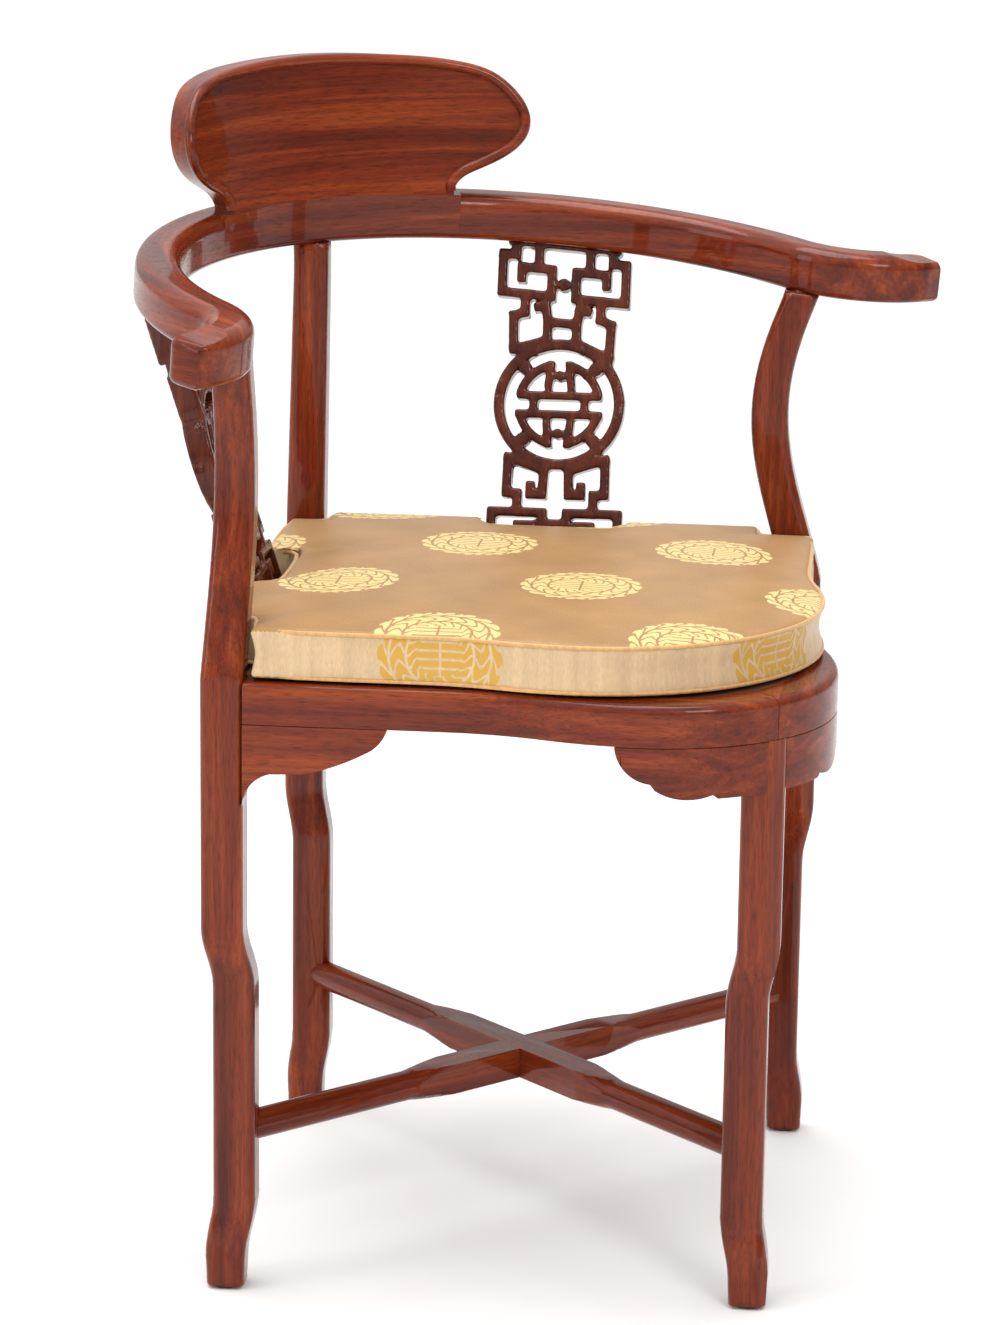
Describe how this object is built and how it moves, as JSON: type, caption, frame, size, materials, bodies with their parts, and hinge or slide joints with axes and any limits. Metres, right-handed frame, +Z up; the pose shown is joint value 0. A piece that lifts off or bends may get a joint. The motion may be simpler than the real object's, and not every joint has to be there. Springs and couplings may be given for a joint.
{
  "type": "corner chair",
  "caption": "East Asian rosewood corner chair with a curved arm rail, carved crest, openwork splats, cross stretchers and a loose silk box cushion.",
  "frame": {"origin": "floor under the middle of the chair's overall box", "axes": "+Z up; the front leg points to -Y and the back leg with the crest to +Y; the side legs stand on -X and +X"},
  "size_m": [0.759, 0.6183, 0.9229],
  "materials": {
    "rosewood": "polished lacquer",
    "underside_wood": "plain, unpolished",
    "silk": "satin brocade",
    "foam": "open cell",
    "felt": "pressed felt"
  },
  "bodies": {
    "frame": {"left_leg": "rosewood", "right_leg": "rosewood", "back_leg": "rosewood", "front_leg": "rosewood", "left_foot_pad": "felt", "right_foot_pad": "felt", "back_foot_pad": "felt", "front_foot_pad": "felt", "front_left_rail": "rosewood", "front_right_rail": "rosewood", "back_right_rail": "rosewood", "back_left_rail": "rosewood", "mitre_key": "underside_wood", "seat_panel": "underside_wood", "left_batten": "underside_wood", "right_batten": "underside_wood", "left_leg_front_bracket": "rosewood", "right_leg_front_bracket": "rosewood", "left_leg_back_bracket": "rosewood", "right_leg_back_bracket": "rosewood", "back_leg_left_bracket": "rosewood", "back_leg_right_bracket": "rosewood", "front_leg_left_bracket": "rosewood", "front_leg_right_bracket": "rosewood", "side_stretcher": "rosewood", "long_stretcher": "rosewood", "right_arm": "rosewood", "left_arm": "rosewood", "yoke": "rosewood", "crest": "rosewood", "rail_dowels": "underside_wood", "crest_dowels": "underside_wood", "right_splat": "rosewood", "left_splat": "rosewood"},
    "cushion": {"cushion_cover": "silk", "cushion_foam": "foam"}
  },
  "joints": [
    {"name": "cushion_lift", "type": "slide", "parent": "frame", "child": "cushion", "axis": [0, 0, 1], "range_m": [0, 0.025]}
  ]
}
